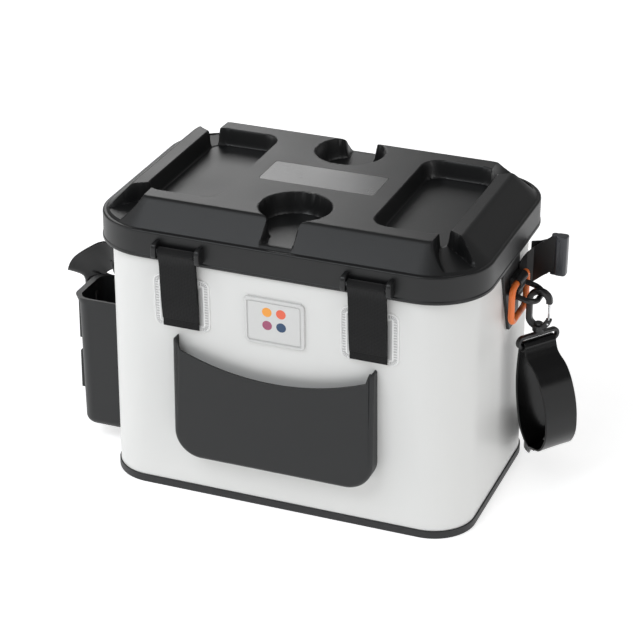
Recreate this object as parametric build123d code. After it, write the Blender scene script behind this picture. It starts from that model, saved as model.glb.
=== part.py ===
from build123d import *
import math
import os

# Fishing bag with a moulded lid. Millimetres; X is the width, -Y the front, Z up, and the
# origin is the middle of the footprint, on the ground.

# Lid
lid_width = 400.0
lid_depth = 270.0
lid_corner = 61.0
lid_foot = 260.5            # height of the lid's lower edge
rim_height = 28.0
bead_proud = 0.7
bead_height = 3.0
lid_wall = 3.0
ledge_width = 4.0           # flat step between the rim and the bevel
bevel_run = 25.0
deck_rise = 23.5            # from the ledge to the flat deck
tray_inner = 78.3           # inner edge of a side tray, measured at the deck
tray_bar = 44.2             # from the lid's side to the tray's outer edge
tray_end = 48.0             # from the lid's front to the tray's end
tray_corner = 17.0
tray_rise = 6.0             # tray floor above the ledge
tray_draft = 0.2            # sideways run of the tray walls for each unit of height
deck_edge = 2.0             # rounding of the deck's edges
valley_fall = 0.139305      # slope of the corner valleys' beds, outwards
cup_radius = 33.0
cup_share = 0.561481        # cup's place between the middle and the lid's front
cup_floor_rise = 2.6
cup_slot_deck = 28.0        # width of the channel in front of each cup, at the cup
cup_slot_edge = 36.0        # and at the ledge
plate_width = 120.0
plate_depth = 48.0
plate_sunk = 1.0
liner_thickness = 9.0

# Lid lugs, bars and webbing
lug_share = 0.4825          # pair's middle between the centre line and the lid's side
lug_span = 50.0
lug_thickness = 5.0
lug_rise = 4.5              # above the lid's foot
lug_height = 16.4
lug_nose = 5.5              # past the bar's axis
bar_stand = 5.5             # bar axis out from the bead
bar_rise = 12.5             # bar axis above the lid's foot
bar_radius = 2.6
web_width = 38.0
web_thickness = 1.6
web_length = 82.0           # from the bar down to its cut end
web_free = 35.0             # from the bar down to its pad

# Body
mouth_side = 11.5           # lid's side to the body's mouth
mouth_front = 3.2           # lid's front to the body's mouth
mouth_round = 5.0           # less corner radius than the lid
side_lean = 1.5             # the foot stands this much outside the mouth at the sides
front_lean = 14.3           # and this much inside it at the front and rear
foot_round = 12.5           # less corner radius than the mouth
wall_foot = 3.0
wall_thickness = 5.0
lid_gap = 1.0               # body's top edge below the lid's foot
frame_thickness = 3.5
frame_height = 38.0
frame_flange = 7.0
frame_fit = 0.3
frame_swing = 6.8           # room inside the lid's front wall as the lid swings
frame_round = 1.0           # less corner radius than the wall round it
frame_under = 0.5           # below the liner
cup_wall = 1.5              # the rubber foot's side wall
cup_height = 8.8
panel_thickness = 6.0
groove_pitch = 20.0
groove_width = 7.0
groove_depth = 1.2

# Fittings on the walls
glue = 0.1                  # glue or stitch line under a sewn or bonded piece
patch_width = 58.5
patch_height = 57.0
patch_drop = 43.0           # its middle below the body's top edge
patch_thickness = 1.2
patch_corner = 8.0
pad_thickness = 1.4
pad_height = 42.0
badge_width = 62.0
badge_height = 50.0
badge_drop = 46.5
pouch_half_width = 104.0
pouch_stand = 7.2           # its flat face out from the mouth
pouch_foot = 51.5
pouch_under = 7.0           # its tips below the patches
pouch_dip = 30.5            # lowest point of its top edge below the tips
pouch_tip_width = 8.0
pouch_sag_radius = 253.0
pouch_corner = 28.0
pouch_wall = 2.2
holder_front = -60.0
holder_back = 3.5
holder_stand = 61.0         # its outer face out from the mouth
holder_clear = 1.9          # its inner edges out from the mouth, clear of the leaning wall
holder_foot = 16.0
holder_under = 10.0         # its rim below the side tab
holder_wall = 2.5
holder_corner = 15.0
holder_taper = 2.0
lip_reach = 4.0
lip_height = 8.0
loop_height = 42.0          # moulded belt loops on its outer face
loop_width = 30.0
loop_places = (36.0, 94.0)  # above the holder's foot

# Side hardware, given for the right-hand side
side_middle = 20.0          # the fittings' middle, from the bag's centre plane
tab_thickness = 3.0
tab_drop = 9.5              # its top below the body's top edge
tab_length = 76.0
tab_front = (-16.0, 13.0)   # its slanting front edge, at the top and at the foot
tab_back = (42.0, 44.0)
hoop_radius = 2.75
hoop_span = 36.0
hoop_reach = 24.0
hoop_drop = 40.5            # its bar below the body's top edge
hoop_droop = 15.0           # degrees
ring_radius = 3.25
ring_span = 51.0
ring_drop = 38.0
ring_lift = 9.5             # its top bar above the hoop's
bar_clear = 0.3
web_fold = 1.5
hook_width = 26.0
hook_height = 44.0
hook_band = 6.0
hook_thickness = 7.0
gate_low = 9.0              # gate's pivot above the hook's foot
gate_length = 21.0
gate_wire = 1.1
slide_length = 52.0
slide_height = 14.0
slide_wall = 4.0
slide_thickness = 5.0
slide_turn_right = 54.2     # degrees from X
slide_turn_left = 0.0
slide_drop = 10.0           # slot middle below the hook's foot

# Shoulder strap and side belt
strap_width = 39.0
strap_thickness = 2.2
belt_width = 38.0
belt_thickness = 1.8
belt_drop = 16.5            # middle of its buckle below the body's top edge
belt_reach = 31.16316        # buckle's bar out from the tab
belt_back = 39.0            # and behind the side fittings' middle
belt_fold = 1.9
buckle_height = 42.0
buckle_depth = 12.0
buckle_reach = 12.0
slider_spot = (116.0, 164.5, 76.5)
slider_slope = 7.5 / 40
slider_thickness = 7.0
strap_set = (219.769, 140.5, 162.838)   # hoop tip, rear bar and slot it was laid out for

tray_outer = lid_width / 2 - tray_bar
tray_half_depth = lid_depth / 2 - tray_end
cup_offset = cup_share * lid_depth / 2
lug_offset = lug_share * lid_width / 2
lug_low = lid_foot + lug_rise
lug_high = lug_low + lug_height
bar_out = lid_depth / 2 + bar_stand
bar_height = lid_foot + bar_rise
web_end = bar_height - web_length
web_lean = bar_height - web_free
mouth_width = lid_width - 2 * mouth_side
mouth_depth = lid_depth - 2 * mouth_front
mouth_corner = lid_corner - mouth_round
foot_width = mouth_width + 2 * side_lean
foot_depth = mouth_depth - 2 * front_lean
foot_corner = mouth_corner - foot_round
wall_top = lid_foot - lid_gap
rim_top = lid_foot + rim_height
deck = rim_top + deck_rise
tray_floor = rim_top + tray_rise
rim_width = lid_width - 2 * bead_proud
rim_depth = lid_depth - 2 * bead_proud
rim_corner = lid_corner - bead_proud
frame_width = mouth_width - 2 * (wall_thickness + frame_fit)
frame_depth = rim_depth - 2 * (lid_wall + frame_swing)
frame_corner = mouth_corner - wall_thickness - frame_round
frame_top = rim_top - lid_wall - liner_thickness - frame_under
frame_foot = frame_top - frame_height
patch_middle = wall_top - patch_drop
badge_middle = wall_top - badge_drop
pouch_face = mouth_depth / 2 + pouch_stand
pouch_tip = patch_middle - patch_height / 2 - pouch_under
pouch_sag = pouch_tip - pouch_dip
tab_high = wall_top - tab_drop
tab_low = tab_high - tab_length
holder_reach = mouth_width / 2 + holder_stand
holder_seat = mouth_width / 2 + holder_clear
holder_rim = tab_low - holder_under
hoop_height = wall_top - hoop_drop
ring_height = hoop_height + ring_lift
belt_middle = wall_top - belt_drop


def outline(width, depth, corner, height):
    return Pos(0, 0, height) * RectangleRounded(width, depth, corner)


def prism(width, depth, corner, low, high):
    return extrude(outline(width, depth, corner, low), high - low)


def taper(low, high):
    """A form that runs straight from one rounded outline (width, depth, corner, height) to another."""
    return loft([outline(*low), outline(*high)], ruled=True)


def body_size(height):
    """Outer width, depth and corner of the body at a height."""
    share = (height - wall_foot) / (wall_top - wall_foot)
    foot = (foot_width, foot_depth, foot_corner)
    mouth = (mouth_width, mouth_depth, mouth_corner)
    return [a + share * (b - a) for a, b in zip(foot, mouth)]


def body_form(inset, low, high):
    sections = []
    for height in (low, high):
        width, depth, corner = body_size(height)
        sections.append((width - 2 * inset, depth - 2 * inset, corner - inset, height))
    return taper(*sections)


def wall_plane(side, along, height):
    """A plane on the body's outer face: x level along the wall, y up the wall, z outwards."""
    width, depth, _ = body_size(height)
    rise = wall_top - wall_foot
    lean_y = (mouth_depth - foot_depth) / 2 / rise
    lean_x = (mouth_width - foot_width) / 2 / rise
    if side == "front":
        return Plane((along, -depth / 2, height), x_dir=(1, 0, 0), z_dir=(0, -1, -lean_y))
    if side == "rear":
        return Plane((along, depth / 2, height), x_dir=(-1, 0, 0), z_dir=(0, 1, -lean_y))
    if side == "right":
        return Plane((width / 2, along, height), x_dir=(0, 1, 0), z_dir=(1, 0, -lean_x))
    return Plane((-width / 2, along, height), x_dir=(0, -1, 0), z_dir=(-1, 0, -lean_x))


def on_wall(side, along, height, lift, piece):
    return wall_plane(side, along, height) * Pos(0, 0, lift) * piece


def mirrored(piece):
    return mirror(piece, about=Plane.YZ)


def across_x(sketch, middle, width):
    """A profile drawn with x as the distance to the rear and y as the height, pulled along X."""
    plane = Plane((middle - width / 2, 0, 0), x_dir=(0, 1, 0), z_dir=(1, 0, 0))
    return extrude(plane * sketch, width)


def lid_form(skin):
    """The lid's outer form, or with a skin its hollow, the same form set in by that much."""
    slope = bevel_run / deck_rise
    shift = skin * (math.hypot(1, slope) - slope)
    rim = prism(rim_width - 2 * skin, rim_depth - 2 * skin, rim_corner - skin, lid_foot, rim_top - skin)
    foot = [rim_width - 2 * (ledge_width + shift), rim_depth - 2 * (ledge_width + shift)]
    raised = taper(
        (foot[0], foot[1], rim_corner - ledge_width - shift, rim_top - skin),
        (foot[0] - 2 * bevel_run, foot[1] - 2 * bevel_run,
         rim_corner - ledge_width - shift - bevel_run, deck - skin),
    )
    if skin == 0:
        rim = fillet(rim.faces().sort_by(Axis.Z)[-1].edges(), 2.0)
    if skin == 0:
        raised = fillet(raised.faces().sort_by(Axis.Z)[-1].edges(), deck_edge)
    for side in (-1, 1):
        raised -= tray_cut(side, skin)
        raised -= cup_cut(side, skin)
        for end in (-1, 1):
            raised -= corner_cut(side, end, skin)
    return rim + raised


def tray_cut(side, skin):
    """Drafted pocket of a side tray."""
    fall = deck - tray_floor
    width = tray_outer - tray_inner - 2 * tray_draft * fall
    depth = 2 * (tray_half_depth - tray_draft * fall)
    sections = []
    for height in (tray_floor - skin, deck + 2):
        grow = tray_draft * (height - tray_floor) + skin * math.hypot(1, tray_draft)
        sections.append((width + 2 * grow, depth + 2 * grow, tray_corner + grow, height))
    pocket = taper(*sections)
    if skin == 0:
        grow = tray_draft * fall
        eased = [(width + 2 * grow + 2 * wider, depth + 2 * grow + 2 * wider, tray_corner + grow + wider,
                  deck - deck_edge / 2 + wider) for wider in (0, deck_edge)]
        pocket += taper(*eased)
    return Pos(side * (tray_inner + tray_outer) / 2, 0, 0) * pocket


def corner_cut(side, end, skin):
    """The open valley between the end of a deck strip and the end of a side bar."""
    x, y = tray_outer, tray_half_depth
    reach = x + 74.2
    foot = [(x - 14.2, y - 10), (x + 25.2, y + 63), (reach, y + 63), (reach, y + 43.5), (x - 9.8, y - 20)]
    head = [(x - 8.8, y - 12), (x - 8.8, y + 63), (reach, y + 63), (reach, y + 36.2), (x - 10.8, y - 20.2)]
    faces = []
    for points, height in ((foot, rim_top), (head, deck)):
        corners = [(side * along, end * out) for along, out in points]
        if side * end > 0:
            corners.reverse()
        shape = Polygon(*corners, align=None)
        if skin > 0:
            shape = offset(shape, amount=skin, kind=Kind.INTERSECTION)
        faces.append(Pos(0, 0, height) * shape)
    valley = loft(faces, ruled=True)
    valley += extrude(faces[1], 5)
    valley += extrude(faces[0], -5)
    fall = valley_fall / math.sqrt(2)
    bed = Plane((side * (x - 3.3), end * (y - 5.5), tray_floor - skin), x_dir=(1, 0, side * -fall),
                z_dir=(side * fall, end * fall, 1))
    return valley & extrude(bed * Rectangle(400, 400), 80)


def cup_cut(end, skin):
    """A cup well and its channel to the lid's edge."""
    floor = rim_top + cup_floor_rise - skin
    well = Pos(0, end * cup_offset, floor) * extrude(Circle(cup_radius + skin), deck + 5 - floor)
    edge = rim_depth / 2 + 10
    near = cup_slot_deck / 2 + skin
    far = cup_slot_edge / 2 + skin
    throat = cup_offset + cup_radius - 1.8
    half = [(near, cup_offset), (near, throat), (far, edge)]
    points = half + [(-x, y) for x, y in reversed(half)]
    channel = Polygon(*[(x, end * y) for x, y in points], align=None)
    return well + Pos(0, 0, floor) * extrude(channel, deck + 5 - floor)


def lug_places():
    return [(side, end) for side in (-1, 1) for end in (-1, 1)]


def make_lid_shell():
    shell = lid_form(0)
    shell += prism(lid_width, lid_depth, lid_corner, lid_foot, lid_foot + bead_height)
    for side, end in lug_places():
        for edge in (-1, 1):
            middle = side * lug_offset + edge * (lug_span - lug_thickness) / 2
            reach = bar_out + lug_nose
            root = rim_depth / 2 - 3
            ear = Pos((root + reach) / 2, (lug_low + lug_high) / 2) * RectangleRounded(
                reach - root, lug_high - lug_low, 4)
            ear -= Pos(bar_out, bar_height) * Circle(bar_radius + 0.15)
            piece = across_x(ear, middle, lug_thickness)
            if end < 0:
                piece = mirror(piece, about=Plane.XZ)
            shell += piece
    hollow = lid_form(lid_wall)
    hollow += prism(rim_width - 2 * lid_wall, rim_depth - 2 * lid_wall, rim_corner - lid_wall,
                    lid_foot - 2, lid_foot + 2)
    shell -= hollow
    shell -= prism(plate_width, plate_depth, 3, deck - plate_sunk, deck + 5)
    return shell


def make_lid_plate():
    return prism(plate_width - 0.6, plate_depth - 0.6, 2.7, deck - plate_sunk, deck - 0.1)


def make_lid_liner():
    inner = rim_top - lid_wall
    return prism(rim_width - 2 * lid_wall - 6, rim_depth - 2 * lid_wall - 6, rim_corner - lid_wall - 3,
                 inner - liner_thickness, inner)


def make_bars(end):
    bars = []
    for side in (-1, 1):
        bar = across_x(Pos(bar_out, bar_height) * Circle(bar_radius), side * lug_offset, lug_span - 0.4)
        bars.append(bar if end > 0 else mirror(bar, about=Plane.XZ))
    return bars


def webbing_profile():
    """The webbing seen from its edge: a loop round the bar, and both layers sewn into one tail."""
    inner = bar_radius + 0.4
    loop = Pos(bar_out, bar_height) * Circle(inner + web_thickness)
    thickness = 2 * web_thickness - 0.2
    slope = (mouth_depth - foot_depth) / 2 / (wall_top - wall_foot)
    seat = patch_thickness + pad_thickness + 3 * glue + 0.3
    low = body_size(web_end)[1] / 2 + seat
    lean = body_size(web_lean)[1] / 2 + seat
    tail = Polygon(
        (bar_out - 1.3, bar_height - 4.1),
        (bar_out - 3.1, bar_height - 11),
        (lean, web_lean),
        (low, web_end),
        (low + thickness, web_end - slope * thickness),
        (lean + thickness, web_lean),
        (bar_out + 0.3, bar_height - 11),
        (bar_out + 3.4, bar_height - 3.0),
        align=None,
    )
    return loop + tail - Pos(bar_out, bar_height) * Circle(inner)


def make_webbing(side, end):
    strap = across_x(webbing_profile(), side * lug_offset, web_width)
    return strap if end > 0 else mirror(strap, about=Plane.XZ)


def make_patch(side, wall):
    return on_wall(wall, side * lug_offset, patch_middle, glue,
                   extrude(RectangleRounded(patch_width, patch_height, patch_corner), patch_thickness))


def make_pads(wall):
    pads = []
    for side in (-1, 1):
        pad = extrude(RectangleRounded(web_width - 2, pad_height, 1.5), pad_thickness)
        pads.append(on_wall(wall, side * lug_offset, patch_middle - 2.5, patch_thickness + 2 * glue, pad))
    return pads


def make_body_wall():
    outer = body_form(0, wall_foot, wall_top)
    inner = body_form(wall_thickness, wall_foot - 5, wall_top + 5)
    return outer - inner


def make_foot_cup():
    width, depth, corner = body_size(wall_foot)
    cup = prism(width + 2 * cup_wall, depth + 2 * cup_wall, corner + cup_wall, 0, cup_height)
    cup -= body_form(-0.2, wall_foot, cup_height + 5)
    cup = fillet(cup.edges().group_by(Axis.Z)[0], 1.0)
    count = 2 * int((depth - 40) // (2 * groove_pitch))
    for index in range(count):
        y = (index - (count - 1) / 2) * groove_pitch
        groove = Rectangle(width - 60, groove_width)
        cup -= Pos(0, y, 0) * extrude(groove, groove_depth)
    return cup


def make_floor_panel():
    return body_form(wall_thickness + 0.3, wall_foot, wall_foot + panel_thickness)


def make_rim_frame():
    frame = prism(frame_width, frame_depth, frame_corner, frame_foot, frame_top)
    inside = frame_thickness
    frame -= prism(frame_width - 2 * inside, frame_depth - 2 * inside, frame_corner - inside,
                   frame_foot - 2, frame_top - frame_thickness)
    inside = frame_thickness + frame_flange
    frame -= prism(frame_width - 2 * inside, frame_depth - 2 * inside, frame_corner - inside,
                   frame_foot, frame_top + 2)
    return frame


def make_badge():
    """Soft badge: a raised border, a sunk margin and a raised inner panel."""
    badge = extrude(RectangleRounded(badge_width, badge_height, 5), 2.4)
    badge = fillet(badge.faces().sort_by(Axis.Z)[-1].edges(), 0.8)
    badge -= Pos(0, 0, 1.4) * extrude(RectangleRounded(badge_width - 6, badge_height - 6, 3), 3)
    badge += Pos(0, 0, 1.0) * extrude(RectangleRounded(badge_width - 9, badge_height - 9, 2), 1.0)
    return on_wall("front", 0, badge_middle, glue, badge)


def make_pouch():
    height = pouch_tip - pouch_foot
    middle = (pouch_tip + pouch_foot) / 2
    front = Plane((0, -pouch_face, 0), x_dir=(1, 0, 0), z_dir=(0, -1, 0))
    block = Pos(0, middle) * Rectangle(2 * pouch_half_width, height)
    block = fillet(block.vertices().group_by(Axis.Y)[0], pouch_corner)
    block = fillet(block.vertices().group_by(Axis.Y)[-1], 2.5)
    depth = pouch_face - body_size(pouch_foot)[1] / 2 + 5
    pouch = extrude(front * block, -depth)
    pouch = fillet(pouch.faces().sort_by(Axis.Y)[0].edges(), 4.0)
    half = pouch_half_width - pouch_wall
    well = Pos(0, middle + pouch_wall + 20) * Rectangle(2 * half, height + 40)
    well = fillet(well.vertices().group_by(Axis.Y)[0], pouch_corner - pouch_wall)
    pouch -= extrude(Pos(0, pouch_wall, 0) * (front * well), -depth)
    sweep_top = Pos(0, pouch_sag + pouch_sag_radius) * Circle(pouch_sag_radius)
    reach = pouch_half_width - pouch_tip_width
    sweep_top &= Pos(0, middle + 60) * Rectangle(2 * reach, height + 60)
    shoulder = pouch_sag + pouch_sag_radius - math.sqrt(pouch_sag_radius ** 2 - reach ** 2)
    horn = half - 0.5
    above = pouch_tip + 5
    sweep_top += Polygon((-reach, shoulder), (reach, shoulder), (horn, above), (-horn, above), align=None)
    pouch -= extrude(Pos(0, -5, 0) * (front * sweep_top), -(5 + 3 * pouch_wall))
    for side in (-1, 1):
        slot = Box(43, 5, 2.4)
        pouch -= Pos(side * 25.5, -pouch_face + pouch_wall + 1.5, pouch_foot + 1.1) * slot
    return pouch - body_form(-glue, wall_foot, wall_top)


def holder_outline(inset, height, lip=0.0):
    """Plan of the side holder: square against the bag, rounded at its two outer corners."""
    share = (height - holder_foot) / (holder_rim - holder_foot)
    narrow = holder_taper * (1 - share) + inset
    left = -holder_reach + narrow - lip
    right = -holder_seat - inset
    front = holder_front + narrow
    back = holder_back - narrow
    shape = Pos((left + right) / 2, (front + back) / 2) * Rectangle(right - left, back - front)
    shape = fillet(shape.vertices().group_by(Axis.X)[0], holder_corner - inset)
    return Pos(0, 0, height) * shape


def make_holder():
    holder = loft([holder_outline(0, holder_foot), holder_outline(0, holder_rim)], ruled=True)
    holder = fillet(holder.faces().sort_by(Axis.Z)[0].edges().sort_by(Axis.X)[:-1], 9.0)
    lip = loft([holder_outline(0, holder_rim - lip_height, 0.5), holder_outline(0, holder_rim, lip_reach)],
               ruled=True)
    holder += lip
    floor = holder_foot + holder_wall
    hollow = [holder_outline(holder_wall, floor), holder_outline(holder_wall, holder_rim + 1)]
    holder -= loft(hollow, ruled=True)
    middle = (holder_front + holder_back) / 2
    for place in loop_places:
        side = Pos(-holder_reach, middle, holder_foot + place + loop_height / 2)
        for edge in (-1, 1):
            holder += side * Pos(0, edge * (loop_width / 2 - 2), 0) * Box(6, 4, loop_height)
        bar = side * Pos(-3.2, 0, 0) * Box(2.4, loop_width, loop_height)
        holder += fillet(bar.edges().filter_by(Axis.Z).group_by(Axis.X)[0], 1.2)
    return holder


def make_tab():
    """Stiff sewn tab on the side wall, its front edge slanting to a narrow foot."""
    middle = (tab_low + tab_high) / 2
    half = (tab_high - tab_low) / 2
    points = [(tab_front[1], -half), (tab_back[1], -half), (tab_back[0], half), (tab_front[0], half)]
    shape = Polygon(*[(y - side_middle, z) for y, z in points], align=None)
    shape = fillet(shape.vertices(), 4)
    tab = extrude(shape, tab_thickness)
    tab = fillet(tab.faces().sort_by(Axis.Z)[-1].edges(), 1.0)
    return on_wall("right", side_middle, middle, glue, tab)


tab_face = body_size(hoop_height)[0] / 2 + glue + tab_thickness
hoop_bar = tab_face + web_fold + bar_clear + hoop_radius + 0.2
ring_plane = hoop_bar + 2.0
hoop_tip = hoop_bar + hoop_reach * math.cos(math.radians(hoop_droop))
hoop_tip_height = hoop_height - hoop_reach * math.sin(math.radians(hoop_droop))
hook_top = hoop_tip_height + hoop_radius + bar_clear + hook_band
hook_foot = hook_top - hook_height
slide_middle = hook_foot - slide_drop


def make_keeper():
    """Folded webbing that holds the hoop's bar and the ring's top bar against the tab."""
    wide = web_fold + bar_clear
    places = ((hoop_bar, hoop_height, hoop_radius), (ring_plane, ring_height, ring_radius))
    profile = Sketch()
    for x, z, radius in places:
        profile += Pos(x, z) * Circle(radius + wide)
    low = hoop_height - hoop_radius - wide
    high = ring_height + ring_radius + wide
    back = Rectangle(hoop_bar - tab_face, high - low)
    profile += Pos((tab_face + hoop_bar) / 2 + 0.1, (low + high) / 2) * back
    for x, z, radius in places:
        profile -= Pos(x, z) * Circle(radius + bar_clear)
    plane = Plane((0, side_middle + 12, 0), x_dir=(1, 0, 0), z_dir=(0, -1, 0))
    return extrude(plane * profile, 24)


def make_hoop():
    tilt = Location((hoop_bar, side_middle, hoop_height), (0, hoop_droop, 0))
    path = Pos(hoop_reach / 2, 0) * Rectangle(hoop_reach, hoop_span)
    path = fillet(path.vertices().group_by(Axis.X)[-1], 11.5)
    path = fillet(path.vertices().group_by(Axis.X)[0], 4.5)
    wire = path.faces()[0].outer_wire()
    start = Plane(wire @ 0, z_dir=wire % 0)
    return tilt * sweep(start * Circle(hoop_radius), path=wire)


def make_ring():
    plane = Plane((ring_plane, side_middle, ring_height - ring_drop / 2), x_dir=(0, 1, 0), z_dir=(1, 0, 0))
    wire = (plane * RectangleRounded(ring_span, ring_drop, 9)).faces()[0].outer_wire()
    start = Plane(wire @ 0, z_dir=wire % 0)
    return sweep(start * Circle(ring_radius), path=wire)


def make_hook():
    """Snap hook: a flat oval link, open on its outer side, with a fork for the gate and a swivel boss."""
    middle = (hook_top + hook_foot) / 2
    outer = Pos(hoop_tip, middle) * RectangleRounded(hook_width, hook_height, hook_width / 2 - 0.01)
    inner = Pos(hoop_tip, middle) * RectangleRounded(
        hook_width - 2 * hook_band, hook_height - 2 * hook_band, hook_width / 2 - hook_band - 0.01)
    plane = Plane((0, side_middle + hook_thickness / 2, 0), x_dir=(1, 0, 0), z_dir=(0, -1, 0))
    hook = extrude(plane * (outer - inner), hook_thickness)
    hook = fillet(hook.edges().filter_by(lambda edge: abs(edge.tangent_at(0.5).Y) < 0.5), 1.6)
    boss = Pos(hoop_tip, side_middle, hook_foot - 2) * extrude(Circle(6), 7)
    hook += fillet(boss.edges(), 1.0)
    gate_x = hoop_tip + hook_width / 2 - hook_band / 2
    low = hook_foot + gate_low
    gap = low + gate_length
    opening = Box(hook_band + 6, hook_thickness + 2, gap - low - 3)
    hook -= Pos(gate_x + 1, side_middle, (low + gap) / 2 + 1.5) * opening
    hook -= Pos(gate_x, side_middle, low) * Box(hook_band + 4, 3.6, 7.5)
    hook -= Pos(hoop_tip, side_middle, hook_foot - 4) * extrude(Circle(2.8), 14)
    hook -= Pos(hoop_tip, side_middle, hook_foot + 5) * extrude(Circle(4.5), 3)
    hook -= Pos(gate_x, side_middle, low - 1) * Rot(90, 0, 0) * Cylinder(1.0, 20)
    return hook


def gate_pivot():
    return hoop_tip + hook_width / 2 - hook_band / 2, hook_foot + gate_low - 1


def make_gate():
    """Sprung wire gate: a small eye on the pivot and a bowed wire up to the nose."""
    x, z = gate_pivot()
    eye = Pos(x, side_middle, z) * Rot(90, 0, 0) * Cylinder(2.0, 3.0)
    eye -= Pos(x, side_middle, z) * Rot(90, 0, 0) * Cylinder(1.15, 10)
    wire = Pos(x, side_middle, z + 1.5) * extrude(Circle(gate_wire), gate_length - 2.3)
    tip = Pos(x, side_middle, z + gate_length - 0.8) * Sphere(1.5)
    return eye + wire + tip


def make_gate_pin():
    x, z = gate_pivot()
    return Pos(x, side_middle, z) * Rot(90, 0, 0) * Cylinder(0.9, hook_thickness - 0.6)


def make_slide(turn):
    """Slotted strap end: a flat slotted frame hung on a swivel stem."""
    frame = RectangleRounded(slide_length, slide_height, slide_height / 2 - 0.01)
    frame -= RectangleRounded(slide_length - 2 * slide_wall, slide_height - 2 * slide_wall,
                              slide_height / 2 - slide_wall - 0.01)
    upright = Plane((0, slide_thickness / 2, 0), x_dir=(1, 0, 0), z_dir=(0, -1, 0))
    piece = extrude(upright * frame, slide_thickness)
    piece = fillet(piece.edges().filter_by(lambda edge: abs(edge.tangent_at(0.5).Y) < 0.5), 1.2)
    top = slide_height / 2
    piece += Pos(0, 0, top - 1.5) * extrude(Circle(4.5), slide_drop - top - 1.0)
    piece += Pos(0, 0, top - 1.5) * extrude(Circle(2.5), slide_drop - top + 7.5)
    piece += Pos(0, 0, slide_drop + 5.3) * extrude(Circle(4.0), 2.0)
    return Location((hoop_tip, side_middle, slide_middle), (0, 0, turn)) * piece


strap_bar_height = slide_middle - slide_height / 2 + slide_wall / 2
strap_loop = 3.5            # inner radius of the strap's fold round the slotted bar


def fold_of_strap(turn):
    """The strap's fold round the lower bar of the slot, on the right-hand side."""
    ring = Circle(strap_loop + strap_thickness) - Circle(strap_loop)
    upright = Plane((-strap_width / 2, 0, 0), x_dir=(0, 1, 0), z_dir=(1, 0, 0))
    fold = extrude(upright * ring, strap_width)
    return Location((hoop_tip, side_middle, strap_bar_height), (0, 0, turn)) * fold


def ribbon(route, width, thickness, upright=False):
    """A flat band through hand-placed stations: middle point, and which way its width points.

    An upright band keeps its edges level and its cut ends vertical while it rises or falls."""
    points = [Vector(*station[:3]) for station in route]
    sections = []
    for index, station in enumerate(route):
        before = points[max(index - 1, 0)]
        after = points[min(index + 1, len(points) - 1)]
        along = after - before
        if upright:
            along = Vector(along.X, along.Y, 0)
        along = along.normalized()
        across = Vector(*station[3:])
        across = (across - along * across.dot(along)).normalized()
        sections.append(Plane(points[index], x_dir=across, z_dir=along) * Rectangle(width, thickness))
    band = loft(sections, ruled=True)
    return band if band.volume > 0 else Part(Solid(band.wrapped.Reversed()))


def fold_exit(turn, outer):
    """Where the strap leaves its fold, on the right-hand side, and the way its width points."""
    angle = math.radians(turn)
    reach = strap_loop + strap_thickness / 2
    if not outer:
        reach = -reach
    point = (hoop_tip + math.sin(angle) * reach, side_middle - math.cos(angle) * reach)
    return point, (math.cos(angle), math.sin(angle), 0)


def strap_spot(x, y, z):
    """Moves a hand-placed point with the hoop's tip, the rear bars and the slot's height."""
    side, rear, high = strap_set
    share = min(max((y - side_middle) / (rear - side_middle), 0), 1)
    return x * hoop_tip / side, y + share * (bar_out - rear), z * strap_bar_height / high


def strap_routes():
    (x, y), level = fold_exit(slide_turn_right, True)
    (left_x, left_y), left_level = fold_exit(slide_turn_left, True)
    left_level = (-left_level[0], left_level[1], 0)
    sewn = strap_thickness - 0.05
    start = [
        (x, y, strap_bar_height, *level),
        (x + 3, y - 1.5, strap_bar_height - 10, *level),
    ]
    down = [
        (238, 9, 142, *level),
        (249, 7, 115, *level),
        (254, 8, 85, *level),
        (251, 13, 64, *level),
        (241, 24, 50, 0.5, 0.75, 0.25),
        (229, 42, 44, 0.3, 0.4, 0.8),
        (219, 66, 43, 0.1, 0.1, 1),
        (214, 95, 46, 0, 0, 1),
        (208, 125, 52, 0, 0, 1),
        (190, 149, 60, 0, 0, 1),
        (160, 162, 68, 0, 0, 1),
    ]
    slider_x, slider_y, slider_z = strap_spot(*slider_spot)
    slider = [
        (slider_x + step, slider_y, slider_z - step * slider_slope, 0, 0, 1) for step in (20, -20)
    ]
    behind = [
        (40, 163.5, 87, 0, 0, 1),
        (-20, 163, 93, 0, 0, 1),
        (-75, 164, 99, 0, 0, 1),
        (-125, 168, 106, 0, 0, 1),
        (-170, 169, 115, 0, 0, 1),
        (-210, 158, 126, 0, 0, 1),
        (-244, 132, 142, 0, 0, 1),
        (-268, 96, 158, 0, 0, 1),
        (-281, 60, 170, -0.2, 0, 1),
        (-283, 34, 174, -0.25, 0, 1),
        (-276, 20, 171, -0.2, 0, 1),
    ]
    finish = [
        (-left_x - 43.231, left_y - sewn + 0.3, strap_bar_height + 0.6617, -0.1, 0, 1),
        (-left_x - 26.231, left_y - sewn, strap_bar_height - 5.8383, 0, 0, 1),
        (-left_x + 17.769, left_y - sewn, strap_bar_height - 10.8383, 0, 0, 1),
    ]
    down = [(*strap_spot(*station[:3]), *station[3:]) for station in down]
    behind = [(*strap_spot(*station[:3]), *station[3:]) for station in behind]
    end = [
        (-left_x, left_y, strap_bar_height, *left_level),
        (-left_x, left_y, strap_bar_height - 40.8383, *left_level),
    ]
    (x, y), level = fold_exit(slide_turn_right, False)
    inside = [
        (213, 27, 122, *level),
        (215, 30, 92, *level),
        (221, 33, 64, 0.55, 0.8, 0.1),
        (229, 37, 50, 0.45, 0.65, 0.45),
        (227, 45, 44, 0.3, 0.4, 0.8),
    ]
    tail = [
        (x, y, strap_bar_height, *level),
        (x - 1, y + 1, strap_bar_height - 12, *level),
    ]
    tail += [(*strap_spot(*station[:3]), *station[3:]) for station in inside]
    return start + down + slider + behind + finish, tail, end


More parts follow.
